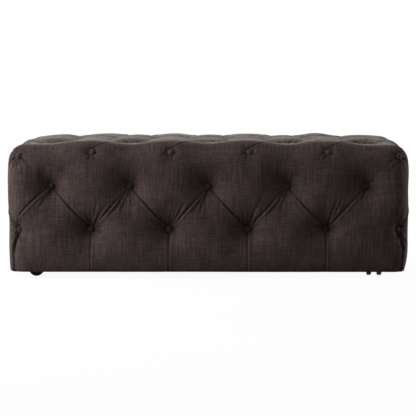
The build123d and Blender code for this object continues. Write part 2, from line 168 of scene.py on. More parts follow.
# Unevenness of the padding, as waves of these lengths
RIPPLE = 0.0007
RIPPLE_LENGTHS = (0.31, 0.23, 0.17, 0.12, 0.09, 0.07)
RIPPLE_WAVES = 3
RIPPLE_SEED = 7

# Wrinkles: each a groove that starts at a button, spreads and fades, with a ridge beside it.
# Turn in degrees, length, strength and curve are varied at random. Near the corners they are shorter.
WRINKLE_WIDTH = 0.0032
WRINKLE_DEPTH = 0.0050
WRINKLE_REACH = 0.13
WRINKLE_START = 0.2
WRINKLE_SPREAD = (0.8, 1.3)
WRINKLE_FADE = 0.6
RIDGE_SHARE = 0.7
RIDGE_OFFSET = 1.7
WRINKLE_TURN = 4
WRINKLE_LENGTHS = (0.9, 1.35)
WRINKLE_STRENGTHS = (0.6, 1.1)
WRINKLE_CURVE = 0.06
CORNER_WRINKLES = 0.7
CORNER_REACH = 1.1 * EDGE_TO_TUFT

# Wrinkles that fan out from each kind of button: angle from straight down in degrees, length, depth share.
# The angle goes to the left of each face as it is seen from outside, and outward at the corners.
FANS = {
    "upper": (
        (-35, 0.065, 0.7), (-19, 0.050, 0.6), (-4, 0.045, 0.7), (9, 0.055, 0.8),
        (19, 0.080, 1.0), (30, 0.100, 1.0), (75, 0.050, 0.4), (-80, 0.050, 0.4),
        (135, 0.060, 0.4), (180, 0.050, 0.3), (-135, 0.060, 0.3),
    ),
    "lower": (
        (148, 0.055, 0.6), (168, 0.045, 0.6), (183, 0.055, 0.8), (196, 0.080, 1.0),
        (209, 0.100, 1.0), (100, 0.050, 0.5), (70, 0.050, 0.4), (-75, 0.050, 0.4),
        (-105, 0.050, 0.5),
    ),
    "edge": (
        (-60, 0.030, 0.5), (-20, 0.034, 0.5), (25, 0.032, 0.5), (65, 0.030, 0.5),
        (-120, 0.030, 0.5),
    ),
    "top": tuple((45 * k + 20, 0.070, 0.8) for k in range(8)),
    "corner_edge": (
        (-62, 0.050, 1.4), (-35, 0.045, 0.8), (-8, 0.050, 0.8), (20, 0.045, 0.8),
        (58, 0.050, 1.4), (118, 0.050, 1.0), (-118, 0.050, 1.0),
    ),
    "corner_lower": (
        (118, 0.065, 1.6), (150, 0.055, 1.0), (180, 0.050, 0.8), (-130, 0.035, 0.5),
        (-20, 0.050, 0.8), (12, 0.075, 1.9), (40, 0.060, 1.4),
    ),
}

# Hem: drawn in, more toward the right end, with shade painted along its bottom in two bands, then turned
# under.
# Each fold of the turn goes so far in and so far down.
HEM_DRAW = 0.010
HEM_DRAW_POWER = 2.2
HEM_LEAN = 0.45
HEM_PUFF_SHARE = 0.5
HEM_PAINTED_SHADES = ((0.3, 0.022), (0.7, 0.003))
HEM_TURN = 0.0005
HEM_FOLD = ((0.0015, 0.002), (0.005, 0.003))

# Cloth simulation of the fabric between its buttons, on a coarser mesh: steps in a half diamond, frames,
# how far round the buttons it is held, how far it may move inward and outward, and its settings
CLOTH_STEPS = 12
CLOTH_FRAMES = 16
CLOTH_HELD = 0.014
CLOTH_CAP = (-0.001, 0.0035)
CLOTH = {
    "quality": 6,
    "mass": 0.2,
    "tension_stiffness": 12.0,
    "compression_stiffness": 12.0,
    "shear_stiffness": 4.0,
    "bending_stiffness": 0.2,
    "use_pressure": True,
    "uniform_pressure_force": 3.0,
}

# Foam pads, a little way below the fabric
PAD_INSET = 0.009
PAD_STEPS = 8

# Covered buttons, in the groups of the CAD part: a dome on a rim, and a back of rings, each with a radius
# and a height from the rim. The linen, cut from the cloth at random, is gathered round the lower rings.
BUTTON_GROUPS = {
    "top_buttons": ("top",),
    "edge_buttons": ("edge", "corner_edge"),
    "side_buttons": ("upper", "lower", "corner_lower"),
}
BUTTON_RADIUS = 0.011
BUTTON_DOME = 0.005
BUTTON_RIM = 0.007
BUTTON_BACK = ((0.004, -0.0045), (0.0088, -0.0018), (BUTTON_RADIUS - 0.0006, -0.0008))
BUTTON_NESTLE = 0.0008
BUTTON_RINGS = 7
BUTTON_SIDES = 26
BUTTON_GATHER = 0.02
BUTTON_FOLDS = 9
GATHERED_RINGS = len(BUTTON_BACK) + 1
BUTTON_CLOTH = 0.5

# Dust cover: the sag is full in the middle of each bay and less between the bays
PLATE_GAP = 0.001
DUST_STEPS_X = 60
DUST_STEPS_Y = 36
DUST_BAY = 0.24
DUST_SAG = 0.004
DUST_LEAST_SAG = 0.7

# Linen: pitch of the weave, share of the colour left under full painted shade, colours from thin to thick
# threads
WEAVE_PITCH = 0.0026
FULL_PAINTED_SHADE = 0.45
LINEN_COLOURS = (
    (0.38, (0.034, 0.0220, 0.0205)),
    (0.50, (0.082, 0.0560, 0.0530)),
    (0.62, (0.170, 0.125, 0.119)),
)

# Pale and dark colours of the woods, and the colours of nylon, clean and worn
PINE = ((0.70, 0.52, 0.31), (0.44, 0.28, 0.14))
PLYWOOD = ((0.62, 0.47, 0.29), (0.40, 0.27, 0.15))
NYLON = (0.006, 0.006, 0.0063)
WORN_WHEEL = (0.022, 0.0215, 0.021)
WORN_BODY = (0.018, 0.0175, 0.017)

# Camera, worked out from where the buttons and crests stand in the photograph
CAMERA_PLACE = (0.078, -5.835, 0.620)
CAMERA_TARGET = (-0.001, -0.369, 0.2295)
CAMERA_LENS = 145.9
CAMERA_REACH = 100

# Studio: the camera sees a white floor, mostly its own glow, so that the shadow stays faint.
# The glow grows a little over a run of distances, where the lamps reach less.
# To the object the floor and the world are dark.
WORLD_LIGHT = 0.06
FLOOR_HALF = 30.0
FLOOR_TO_OBJECT = (0.12, 0.12, 0.12, 1)
FLOOR_MATT = (0.85, 0.85, 0.85, 1)
FLOOR_GLOW = 0.88
FLOOR_WHITE = 1.075
FLOOR_RUN = (2.0, 9.0)
Lamp = namedtuple("Lamp", "place target width height power")
LAMPS = {
    "key": Lamp((-2.6, -1.15, 0.95), (0, -0.2, 0.25), 1.0, 1.0, 57.0),
    "back": Lamp((-0.6, 4.0, 1.9), (0, 0, 0.4), 3.0, 0.8, 88.0),
    "fill": Lamp((3.4, 0.7, 1.1), (0.6, 0, 0.25), 1.4, 1.4, 32.0),
    "head": Lamp((0.7, -1.5, 2.8), (0.3, -0.3, 0.4), 1.6, 1.0, 10.0),
}

SEED = 20
rng = np.random.default_rng(SEED)


# Curves that the shapes are made of


def mix(first, second, share):
    """The first value at a share of 0, the second at a share of 1."""
    return first + (second - first) * share


def between(value, low, high):
    """How far a value has come on the way from low to high, from 0 to 1."""
    return np.clip((value - low) / (high - low), 0, 1)


def smooth(value, low, high):
    """How far a value has come from low to high, with a gentle start and end."""
    share = between(value, low, high)
    return share * share * (3 - 2 * share)


def bell(offset, reach):
    """1 at no offset, fading away past the reach on both sides."""
    return np.exp(-((offset / reach) ** 2))


def arch(place):
    """0 at even lattice places, with a sharp valley there, and 1 at odd ones."""
    return np.abs(np.sin(np.pi * place / 2))


def wave(place):
    """0 at even lattice places, with a soft valley there, and 1 at odd ones."""
    return 0.5 - 0.5 * np.cos(np.pi * place)


def to_even(value):
    """Signed distance to the nearest even number."""
    return (value + 1) % 2 - 1


# Lattice on the rounded box


def across(place, tufts, half):
    """Distance from the middle of a face to a lattice place, before the edges are rounded."""
    from_middle = place - tufts
    within = np.minimum(np.abs(from_middle), tufts - 1)
    past = np.abs(from_middle) - within
    distance = (half - EDGE_TO_TUFT) * within / (tufts - 1) + EDGE_TO_TUFT * past**EDGE_STEP_POWER
    return np.copysign(distance, from_middle)


def level(row):
    """Height of a row on the sides."""
    upper = EDGE_TO_TUFT * np.clip(UPPER_ROW - row, 0, 1) ** EDGE_STEP_POWER
    middle = SIDE_ROW_DROP * np.clip(row - UPPER_ROW, 0, 1)
    lower = (LOWER_LEVEL - HEM_HEIGHT - HEM_TURN) * np.clip(row - LOWER_ROW, 0, 1)
    return UPPER_LEVEL + upper - middle - lower


def on_face(face, a, b):
    """Points of the sharp box at lattice places: a runs along a face, b down a side or back over the top."""
    a = np.asarray(a, float)
    b = np.asarray(b, float)
    if face == "top":
        x = across(a, TUFTS_LONG, HALF_LENGTH)
        y = across(b, TUFTS_DEEP, HALF_DEPTH)
        return np.stack([x, y, np.full_like(a, HEIGHT)], -1)
    if face in ("front", "rear"):
        side = -HALF_DEPTH if face == "front" else HALF_DEPTH
        return np.stack([across(a, TUFTS_LONG, HALF_LENGTH), np.full_like(a, side), level(b)], -1)
    side = -HALF_LENGTH if face == "left" else HALF_LENGTH
    return np.stack([np.full_like(a, side), across(a, TUFTS_DEEP, HALF_DEPTH), level(b)], -1)


def inside_of(face, a, margin, z):
    """Points behind a side face, a margin in from the box and mitred at the corners."""
    place = on_face(face, a, np.full(len(a), HEM_ROW))
    place[:, 0] *= 1 - margin / HALF_LENGTH
    place[:, 1] *= 1 - margin / HALF_DEPTH
    place[:, 2] = z
    return place


def rounded(points):
    """The points moved onto the rounded box, and the way out at each."""
    limit = np.array([HALF_LENGTH, HALF_DEPTH, HEIGHT]) - EDGE_RADIUS
    floor = np.array([-limit[0], -limit[1], -HEIGHT])
    core = np.clip(points, floor, limit)
    out = points - core
    out = out / np.linalg.norm(out, axis=-1, keepdims=True)
    return core + out * EDGE_RADIUS, out


def from_edges(face, a, b):
    """Lattice steps in from the nearest of a face's rounded upper edges."""
    if face != "top":
        return b
    wide, tall = FACES["top"]
    return np.minimum(np.minimum(a, wide - a), np.minimum(b, tall - b))


# How far the fabric sinks below the box


def pillow_depth(face, a, b):
    """How far the pleats lie below the crests: more on the top than on the taut sides, none at the edges."""
    depth, run = (TOP_PILLOW, TOP_PILLOW_RUN) if face == "top" else (SIDE_PILLOW, SIDE_PILLOW_RUN)
    return depth * smooth(from_edges(face, a, b), *run)


def crown(face, a, b):
    """Rise of the top padding above the plain box, a short way in from the edges."""
    if face != "top":
        return 0.0
    wide, tall = FACES["top"]
    long_edges = smooth(b, 0, CROWN_FRONT_RUN) * smooth(tall - b, 0, CROWN_REAR_RUN)
    return CROWN * long_edges * smooth(np.minimum(a, wide - a), 0, CROWN_END_RUN)


def scallop(face, a, b):
    """Sink of the upper edges where the fabric is drawn tight between a top button and a side button."""
    wide, tall = FACES[face]
    if face != "top":
        return SCALLOP * wave(a) * bell(b, SIDE_SCALLOP_REACH)
    along_edge = wave(a) * bell(np.minimum(b, tall - b), TOP_SCALLOP_REACH)
    along_end = wave(b) * bell(np.minimum(a, wide - a), TOP_SCALLOP_REACH)
    return SCALLOP * (along_edge + along_end)


def puff_sink(face, a, b):
    """Puffs between the buttons, scalloped upper edges, the crowned top and the drawn-in hem."""
    pillow = pillow_depth(face, a, b)
    diamonds = pillow * (1 - (arch(a + b) * arch(a - b)) ** PILLOW_POWER)
    diamonds = diamonds + scallop(face, a, b) - crown(face, a, b)
    if face == "top":
        return diamonds
    share = between(b, LOWER_ROW, HEM_ROW)
    crests = pillow * (1 - (arch(a) * arch(a)) ** PILLOW_POWER)
    drawn = HEM_DRAW * (1 + HEM_LEAN * on_face(face, a, b)[..., 0] / HALF_LENGTH)
    skirt = crests * mix(1, HEM_PUFF_SHARE, share) + drawn * share**HEM_DRAW_POWER
    return np.where(b <= LOWER_ROW, diamonds, skirt)


def pleat(offset, strength, lip_share):
    """Sink of a pleat at signed lattice offsets from its line: a narrow groove with a lip along one side."""
    aside = offset * STRIP
    groove = bell(aside, PLEAT_WIDTH)
    lip = bell(aside - LIP_OFFSET, LIP_WIDTH)
    return PLEAT_DEPTH * strength * (groove - lip_share * lip)


def pleat_strengths(face, a, b):
    """How sharp the rising and the falling pleats are, alike on both sides of an edge."""
    if face == "top":
        rising = mix(TOP_RISING, TOP_RISING_FRONT, bell(b, TOP_RISING_REACH))
        falling = mix(TOP_FALLING, TOP_FALLING_FRONT, bell(b, TOP_FALLING_REACH))
    else:
        full = between(b, *SIDE_RUN)
        rising = mix(SIDE_FAINT * between(b, *SIDE_FAINT_RUN), 1, full)
        falling = full * np.maximum(between(FACES[face][0] - a, *FALLING_END_RUN), FALLING_LEAST)
    inward = between(from_edges(face, a, b), 0, EDGE_BLEND)
    return mix(RISING_EDGE, rising, inward), mix(FALLING_EDGE, falling, inward)


def upright_strength(face, a, b):
    """How sharp the pleats from the lower buttons to the hem are: most by the buttons and at the corners."""
    to_corner = np.minimum(a, FACES[face][0] - a)
    plain = mix(UPRIGHT_PLEAT, UPRIGHT_START, bell(b - LOWER_ROW, UPRIGHT_REACH))
    return mix(plain, CORNER_PLEAT, bell(to_corner, UPRIGHT_REACH))


def pleat_sink(face, a, b):
    """Pleats from button to button, and straight down from the lower buttons to the hem."""
    rising, falling = pleat_strengths(face, a, b)
    rising = rising * arch(a - b) ** PLEAT_END_POWER
    falling = falling * arch(a + b) ** PLEAT_END_POWER
    lip_share = LIP_SHARE * between(from_edges(face, a, b), 0, LIP_RUN)
    diagonal = pleat(to_even(a + b), rising, lip_share) + pleat(-to_even(a - b), falling, lip_share)
    if face == "top":
        return diagonal
    start = between(b, LOWER_ROW, LOWER_ROW + UPRIGHT_RUN)
    strength = upright_strength(face, a, b) * start
    upright = pleat(to_even(a) * UPRIGHT_STRETCH, strength, LIP_SHARE * start)
    return np.where(b <= LOWER_ROW, diagonal, upright)


def ripple(points):
    """Slight unevenness of the padding, as a sum of long waves."""
    waves = np.random.default_rng(RIPPLE_SEED)
    total = np.zeros(len(points))
    for length in RIPPLE_LENGTHS:
        for _ in range(RIPPLE_WAVES):
            way = waves.normal(size=3)
            way /= np.linalg.norm(way)
            turn = points @ way * (2 * np.pi / length) + waves.uniform(0, 2 * np.pi)
            total += np.sin(turn) * (length / RIPPLE_LENGTHS[0])
    return RIPPLE * total


# Buttons' seats, their pits and the wrinkles round them

Seat = namedtuple("Seat", "kind place out down drawn")


def button_seats():
    """Each button's kind, place on the full skin, ways out and down there, and how far it is drawn in."""
    seats = []
    for face, (wide, tall) in FACES.items():
        rows = range(1, tall) if face == "top" else range(tall)
        for a in range(wide + 1):
            for b in rows:
                corner = a in (0, wide)
                if (a + b) % 2 or (corner and face not in ("front", "rear")):
                    continue
                kind = "top" if face == "top" else ("edge", "upper", "lower")[b]
                drawn = float(pillow_depth(face, a, b) + scallop(face, a, b) - crown(face, a, b))
                along, lower = a, b
                if kind == "edge":
                    along, lower = a + EDGE_ASIDE, EDGE_SHIFT
                if corner:
                    along, lower = abs(a - CORNER_SHIFT), CORNER_DROP if kind == "edge" else b
                    kind = "corner_" + kind
                place, out = rounded(on_face(face, along, lower))
                down = DOWN_TOP if face == "top" else DOWN_SIDES
                down = down - out * (down @ out)
                seats.append(Seat(kind, place, out, down / np.linalg.norm(down), drawn))
    return seats


SEATS = button_seats()


def to_seat(points, seat):
    """Distance from each point to the middle of a button's seat."""
    return np.linalg.norm(points - seat.place, axis=1)


def pit_depth(kind, distance):
    """Sink of a button's pit at a distance from its middle."""
    pit = PITS[kind]
    return pit.depth * np.exp(-((distance / pit.reach) ** PIT_POWER))


def pit_sink(points):
    """Sink of all the buttons' pits together."""
    return sum(pit_depth(seat.kind, to_seat(points, seat)) for seat in SEATS)


def wrinkle(along_down, along_side, angle, length, depth):
    """Sink of one wrinkle that runs away from a button, at distances down and to the side of it."""
    turn = math.radians(angle + rng.uniform(-WRINKLE_TURN, WRINKLE_TURN))
    length = length * rng.uniform(*WRINKLE_LENGTHS)
    strength = WRINKLE_DEPTH * depth * rng.uniform(*WRINKLE_STRENGTHS)
    distance = along_down * math.cos(turn) + along_side * math.sin(turn)
    aside = along_side * math.cos(turn) - along_down * math.sin(turn)
    aside = aside + rng.uniform(-WRINKLE_CURVE, WRINKLE_CURVE) * distance**2 / length
    run = between(distance, 0, length)
    body = between(run, 0, WRINKLE_START) * (1 - run) ** WRINKLE_FADE * (distance > 0)
    width = WRINKLE_WIDTH * mix(*WRINKLE_SPREAD, run)
    groove = bell(aside, width)
    ridge = RIDGE_SHARE * bell(aside - RIDGE_OFFSET * width, width)
    return strength * body * (groove - ridge)


def wrinkle_sink(points):
    """Short wrinkles in the fabric that run away from the buttons, shorter at upper buttons next to a corner.
    """
    total = np.zeros(len(points))
    for seat in SEATS:
        near = np.flatnonzero(np.abs(points - seat.place).max(1) < WRINKLE_REACH)
        offset = points[near] - seat.place
        side = np.cross(seat.down, seat.out)
        if seat.kind.startswith("corner"):
            side = side * np.sign(side[0] * seat.place[0])
        along_down, along_side = offset @ seat.down, offset @ side
        to_corner = math.hypot(HALF_LENGTH - abs(seat.place[0]), HALF_DEPTH - abs(seat.place[1]))
        by_corner = seat.kind == "upper" and to_corner < CORNER_REACH
        share = CORNER_WRINKLES if by_corner else 1.0
        for angle, length, depth in FANS[seat.kind]:
            total[near] += wrinkle(along_down, along_side, angle, length * share, depth)
    return total


# Painted shade: how deep in a pleat, wrinkle or pit, or how near the hem, the fabric lies, from 0 to 1,
# darkening its colour


def pit_painted_shade(points):
    """Painted shade round the pits: how far into a pit the fabric lies."""
    total = np.zeros(len(points))
    for seat in SEATS:
        pit = PITS[seat.kind]
        total = np.maximum(total, pit.shade * bell(to_seat(points, seat), pit.shade_reach))
    return total


def pleat_painted_shade(face, a, b):
    """Painted shade in the pleats and along the hem: how deep in a pleat or how near the hem the fabric lies.
    """
    rising, falling = pleat_strengths(face, a, b)
    rising = rising * bell(to_even(a + b) * STRIP, PLEAT_WIDTH)
    falling = falling * bell(to_even(a - b) * STRIP, PLEAT_WIDTH)
    diagonal = np.maximum(rising, falling)
    if face == "top":
        return diagonal
    upright = upright_strength(face, a, b) * bell(to_even(a) * UPRIGHT_STRETCH * STRIP, PLEAT_WIDTH)
    above_hem = level(b) - level(HEM_ROW)
    for share, reach in HEM_PAINTED_SHADES:
        upright = upright + share * bell(above_hem, reach)
    return np.where(b <= LOWER_ROW, diagonal, upright)


# Grids over the faces

Grid = namedtuple("Grid", "a b points out")


def eased(count, steps):
    """Lattice places along a face, closer together near the whole numbers, where buttons stand."""
    share = np.arange(steps) / steps
    share = share - STEP_EASE * np.sin(2 * np.pi * share) / (2 * np.pi)
    places = (np.arange(count)[:, None] + share[None, :]).ravel()
    return np.append(places, count)


def skin_grid(face, steps):
    """Lattice places, full-skin points and ways out over one face."""
    wide, tall = FACES[face]
    a, b = np.meshgrid(eased(wide, steps), eased(tall, steps), indexing="ij")
    return Grid(a, b, *rounded(on_face(face, a, b)))


def face_grids(steps):
    """The grid of every face."""
    return {face: skin_grid(face, steps) for face in FACES}


def stacked(parts):
    """The points or ways of several grids, put in one row."""
    return np.concatenate([part.reshape(-1, 3) for part in parts])


def over_faces(grids, measure):
    """A measure of face and lattice place, worked out over every face in turn and put in one row."""
    return np.concatenate([measure(face, grid.a, grid.b).ravel() for face, grid in grids.items()])


def by_face(grids, values):
    """A row of values over every face, cut up into the grids they belong to."""
    ends = np.cumsum([grid.a.size for grid in grids.values()])[:-1]
    parts = np.split(values, ends)
    return {face: part.reshape(grids[face].a.shape) for face, part in zip(grids, parts)}


def grid_faces(rows, columns, steps, flipped):
    """Triangles over a grid of points, split along the pleats."""
    i, j = np.meshgrid(np.arange(rows - 1), np.arange(columns - 1), indexing="ij")
    i, j = i.ravel(), j.ravel()
    first = i * columns + j
    corners = np.stack([first, first + columns, first + columns + 1, first + 1], 1)
    straight = ((i // steps + j // steps) % 2 == 0)[:, None]
    one = np.where(straight, corners[:, [0, 1, 2]], corners[:, [0, 1, 3]])
    two = np.where(straight, corners[:, [0, 2, 3]], corners[:, [1, 2, 3]])
    triangles = np.concatenate([one, two])
    return triangles[:, ::-1] if flipped else triangles


def met(points):
    """Where faces meet: which of the points to keep, and the kept one that stands for each."""
    near = np.round(points / MERGE).astype(np.int64)
    _, keep, stands_for = np.unique(near, axis=0, return_index=True, return_inverse=True)
    return keep, stands_for.ravel()


def new_object(name, data):
    """A mesh, lamp or camera put in the scene."""
    made = bpy.data.objects.new(name, data)
    bpy.context.scene.collection.objects.link(made)
    return made


def mesh_object(name, points, faces):
    """A smooth-shaded mesh object from points and faces."""
    mesh = bpy.data.meshes.new(name)
    mesh.from_pydata(np.asarray(points).tolist(), [], [list(map(int, face)) for face in faces])
    mesh.shade_smooth()
    return new_object(name, mesh)


# Cloth simulation of the fabric between its buttons


def simulated(cloth, held):
    """Where the points of a fabric come to rest with foam pressing from behind and some of them held."""
    cloth.vertex_groups.new(name="held").add(held.tolist(), 1.0, "REPLACE")
    modifier = cloth.modifiers.new("cloth", "CLOTH")
    for key, value in CLOTH.items():
        setattr(modifier.settings, key, value)
    modifier.settings.vertex_group_mass = "held"
    modifier.settings.effector_weights.gravity = 0.0
    modifier.collision_settings.use_collision = False
    modifier.point_cache.frame_end = CLOTH_FRAMES
    for moment in range(1, CLOTH_FRAMES + 1):
        bpy.context.scene.frame_set(moment)
    shaped = cloth.evaluated_get(bpy.context.evaluated_depsgraph_get())
    places = np.empty(len(cloth.data.vertices) * 3)
    shaped.data.vertices.foreach_get("co", places)
    bpy.context.scene.frame_set(1)
    return places.reshape(-1, 3)


def swell():
    """How far the foam pushes the fabric out between its buttons, simulated on a coarse grid."""
    grids = face_grids(CLOTH_STEPS)
    full = stacked(grid.points for grid in grids.values())
    out = stacked(grid.out for grid in grids.values())
    sink = over_faces(grids, puff_sink) + pit_sink(full)
    start = full - out * sink[:, None]
    faces = []
    count = 0
    for face, grid in grids.items():
        faces.append(count + grid_faces(*grid.a.shape, CLOTH_STEPS, face in TURNED))
        count += grid.a.size
    keep, stands_for = met(start)
    at_edge = over_faces(grids, from_edges) < MERGE
    at_hem = full[:, 2] < HEM_HEIGHT + HEM_TURN + MERGE
    at_button = np.min([to_seat(full, seat) for seat in SEATS], axis=0) < CLOTH_HELD
    held = at_edge | at_hem | at_button
    cloth = mesh_object("cloth", start[keep], stands_for[np.concatenate(faces)])
    rest = simulated(cloth, np.flatnonzero(held[keep]))[stands_for]
    bpy.data.meshes.remove(cloth.data)
    outward = ((rest - start) * out).sum(1)
    return by_face(grids, np.clip(outward, *CLOTH_CAP))


def finer(values, face):
    """Values on the coarse cloth grid of a face, read off on its fine grid."""
    for axis, count in enumerate(FACES[face]):
        coarse, fine = eased(count, CLOTH_STEPS), eased(count, STEPS)
        values = np.apply_along_axis(lambda line: np.interp(fine, coarse, line), axis, values)
    return values


# Fabric cover


def cover_shape(grids):
    """How far the fabric lies below the plain box, and its painted shade in pleats, wrinkles, pits and hem,
    over every face.
    """
    full = stacked(grid.points for grid in grids.values())
    wrinkles = wrinkle_sink(full)
    sink = over_faces(grids, puff_sink) + over_faces(grids, pleat_sink)
    sink = sink + pit_sink(full) + ripple(full) + wrinkles
    swelled = swell()
    sink -= np.concatenate([finer(swelled[face], face).ravel() for face in grids])
    # Painted shade: deepest in the pleats, wrinkles, pits and along the hem
    painted_shade = np.maximum(over_faces(grids, pleat_painted_shade), wrinkles / WRINKLE_DEPTH) + pit_painted_shade(full)
    return by_face(grids, sink), by_face(grids, np.clip(painted_shade, 0, 1))


def weave_places(face, box_points):
    """Where each point lies on the flat cloth, in metres."""
    if face == "top":
        return box_points[..., :2]
    drop = -HALF_DEPTH - (HEIGHT - box_points[..., 2])
    along = 1 if face in ("left", "right") else 0
    return np.stack([box_points[..., along], drop], -1)


def with_hem(face, a, moved, out, weave, painted_shade):
    """A side's fabric with the part added that is turned under it, in to the inside of the panels."""
    turned = [moved[:, -1] - out[:, -1] * inward - np.array([0, 0, drop]) for inward, drop in HEM_FOLD]
    turned.append(inside_of(face, a[:, -1], PANEL_INSIDE, HEM_HEIGHT))
    added = len(turned)
    moved = np.concatenate([moved, np.stack(turned, 1)], 1)
    steps = np.diff(moved[:, -added - 1 :], axis=1)
    inward = np.cumsum(np.linalg.norm(steps, axis=2), axis=1)
    along = np.repeat(weave[:, -1:, 0], added, 1)
    turned_weave = np.stack([along, weave[:, -1:, 1] - inward], -1)
    turned_painted_shade = np.repeat(painted_shade[:, -1:], added, 1)
    return moved, np.concatenate([weave, turned_weave], 1), np.concatenate([painted_shade, turned_painted_shade], 1)


def vertex_normals(points, faces):
    """Smooth normals over the whole skin, weighted by area."""
    corners = points[faces]
    each = np.cross(corners[:, 1] - corners[:, 0], corners[:, 2] - corners[:, 0])
    total = np.zeros_like(points)
    for k in range(3):
        np.add.at(total, faces[:, k], each)
    return total / np.linalg.norm(total, axis=1, keepdims=True)


def weave_map(made, corners):
    """Stores where each face corner lies on the flat cloth, in metres."""
    layer = made.data.uv_layers.new(name="weave")
    layer.data.foreach_set("uv", np.asarray(corners, np.float32).ravel())


def painted_shade_map(made, values):
    """Stores the painted shade of each point, from 0 to 1."""
    painted_shades = made.data.attributes.new("painted_shade", "FLOAT", "POINT")
    painted_shades.data.foreach_set("value", np.asarray(values, np.float32))


def skin_piece(name, points, faces, normals, weave, painted_shade):
    """Part of the skin as its own object, shaded as if it were still joined to the rest."""
    used, own = np.unique(faces, return_inverse=True)
    made = mesh_object(name, points[used], own.reshape(faces.shape))
    weave_map(made, weave)
    made.data.normals_split_custom_set_from_vertices(normals[used].tolist())
    painted_shade_map(made, painted_shade[used])
    return made


def make_cover():
    """The fabric cover over the top and round the sides, with a map of the flat cloth for its weave."""
    grids = face_grids(STEPS)
    sinks, painted_shades = cover_shape(grids)
    all_points, all_faces, all_weave, all_painted_shades, all_on_top = [], [], [], [], []
    count = 0
    for face, (a, b, points, out) in grids.items():
        moved = points - out * sinks[face][..., None]
        weave = weave_places(face, on_face(face, a, b))
        painted_shade = painted_shades[face]
        if face != "top":
            moved, weave, painted_shade = with_hem(face, a, moved, out, weave, painted_shade)
        faces = grid_faces(*painted_shade.shape, STEPS, face in TURNED)
        all_points.append(moved.reshape(-1, 3))
        all_weave.append(weave.reshape(-1, 2))
        all_painted_shades.append(painted_shade.ravel())
        all_faces.append(count + faces)
        all_on_top.append(np.full(len(faces), face == "top"))
        count += painted_shade.size
    everything = (all_points, all_faces, all_weave, all_painted_shades, all_on_top)
    points, faces, weave, painted_shade, on_top = (np.concatenate(each) for each in everything)
    keep, stands_for = met(points)
    joined = stands_for[faces]
    normals = vertex_normals(points[keep], joined)
    return [
        skin_piece(name, points[keep], joined[part], normals, weave[faces[part]], painted_shade[keep])
        for name, part in (("linen_top", on_top), ("linen_sides", ~on_top))
    ]


# Foam under the cover


def lofted(name, sections):
    """A closed mesh through closed sections of equal length."""
    sections = np.asarray(sections)
    count, around = sections.shape[:2]
    faces = []
    for i in range(count - 1):
        for j in range(around):
            k = (j + 1) % around
            faces.append((i * around + j, i * around + k, (i + 1) * around + k, (i + 1) * around + j))
    faces.append(tuple(range(around))[::-1])
    faces.append(tuple(range((count - 1) * around, count * around)))
    made = mesh_object(name, sections.reshape(-1, 3), faces)
    shape = bmesh.new()
    shape.from_mesh(made.data)
    bmesh.ops.recalc_face_normals(shape, faces=shape.faces)
    shape.to_mesh(made.data)
    shape.free()
    return made


def make_pad(face):
    """One tufted foam pad, mitred where it meets its neighbours."""
    a, b, points, out = skin_grid(face, PAD_STEPS)
    flat = points.reshape(-1, 3)
    sink = puff_sink(face, a, b) + (pit_sink(flat) + ripple(flat)).reshape(a.shape) + PAD_INSET
    skin = points - out * sink[..., None]
    places = a[:, 0]
    if face == "top":
        front = inside_of("front", places, TOP_PADDING, DECK_TOP)
        rear = front * np.array([1, -1, 1])
        backs = [rear, front]
    else:
        backs = [
            inside_of(face, places, SIDE_PADDING, HEM_HEIGHT + HEM_TURN),
            inside_of(face, places, SIDE_PADDING, DECK_TOP),
            inside_of(face, places, TOP_PADDING, DECK_TOP),
        ]
    return lofted(face + "_foam", np.concatenate([skin, np.stack(backs, 1)], 1))


# Covered buttons


def button_profile():
    """Radius and height of a button's outline, from its hidden back over the rim to the crown."""
    ball = (BUTTON_RADIUS**2 + BUTTON_DOME**2) / (2 * BUTTON_DOME)
    reach = math.asin(BUTTON_RADIUS / ball)
    profile = [(radius, BUTTON_RIM + height) for radius, height in BUTTON_BACK]
    for k in range(BUTTON_RINGS):
        angle = reach * (1 - k / BUTTON_RINGS)
        profile.append((ball * math.sin(angle), BUTTON_RIM + BUTTON_DOME - ball * (1 - math.cos(angle))))
    return profile


def button_faces(rings):
    """Faces over the rings of one button, with a point for the middle of its crown after them."""
    faces = []
    following = [(k + 1) % BUTTON_SIDES for k in range(BUTTON_SIDES)]
    for ring in range(rings - 1):
        low, high = ring * BUTTON_SIDES, (ring + 1) * BUTTON_SIDES
        for k, n in enumerate(following):
            faces.append([low + k, high + k, high + n, low + n])
    last = (rings - 1) * BUTTON_SIDES
    middle = rings * BUTTON_SIDES
    for k, n in enumerate(following):
        faces.append([last + k, middle, last + n])
    return faces


def button_skin(seat, profile):
    """Points of one button, and where each lies on the flat cloth."""
    sunk = seat.drawn + pit_depth(seat.kind, BUTTON_RADIUS) + BUTTON_RIM - BUTTON_NESTLE
    base = seat.place - seat.out * sunk
    side = np.cross(seat.out, seat.down)
    phase = rng.uniform(0, 2 * math.pi)
    cloth = rng.uniform(-BUTTON_CLOTH, BUTTON_CLOTH, 2)
    turns = np.arange(BUTTON_SIDES) * 2 * math.pi / BUTTON_SIDES
    points, flat = [], []
    for ring, (radius, height) in enumerate(profile):
        gather = BUTTON_GATHER if ring < GATHERED_RINGS else 0.0
        reaches = radius * (1 + gather * np.cos(BUTTON_FOLDS * turns + phase))
        for reach, turn in zip(reaches, turns):
            x, y = reach * math.cos(turn), reach * math.sin(turn)
            points.append(base + side * x + seat.down * y + seat.out * height)
            flat.append(cloth + np.array([x, -y]))
    points.append(base + seat.out * (BUTTON_RIM + BUTTON_DOME))
    flat.append(cloth)
    return points, flat


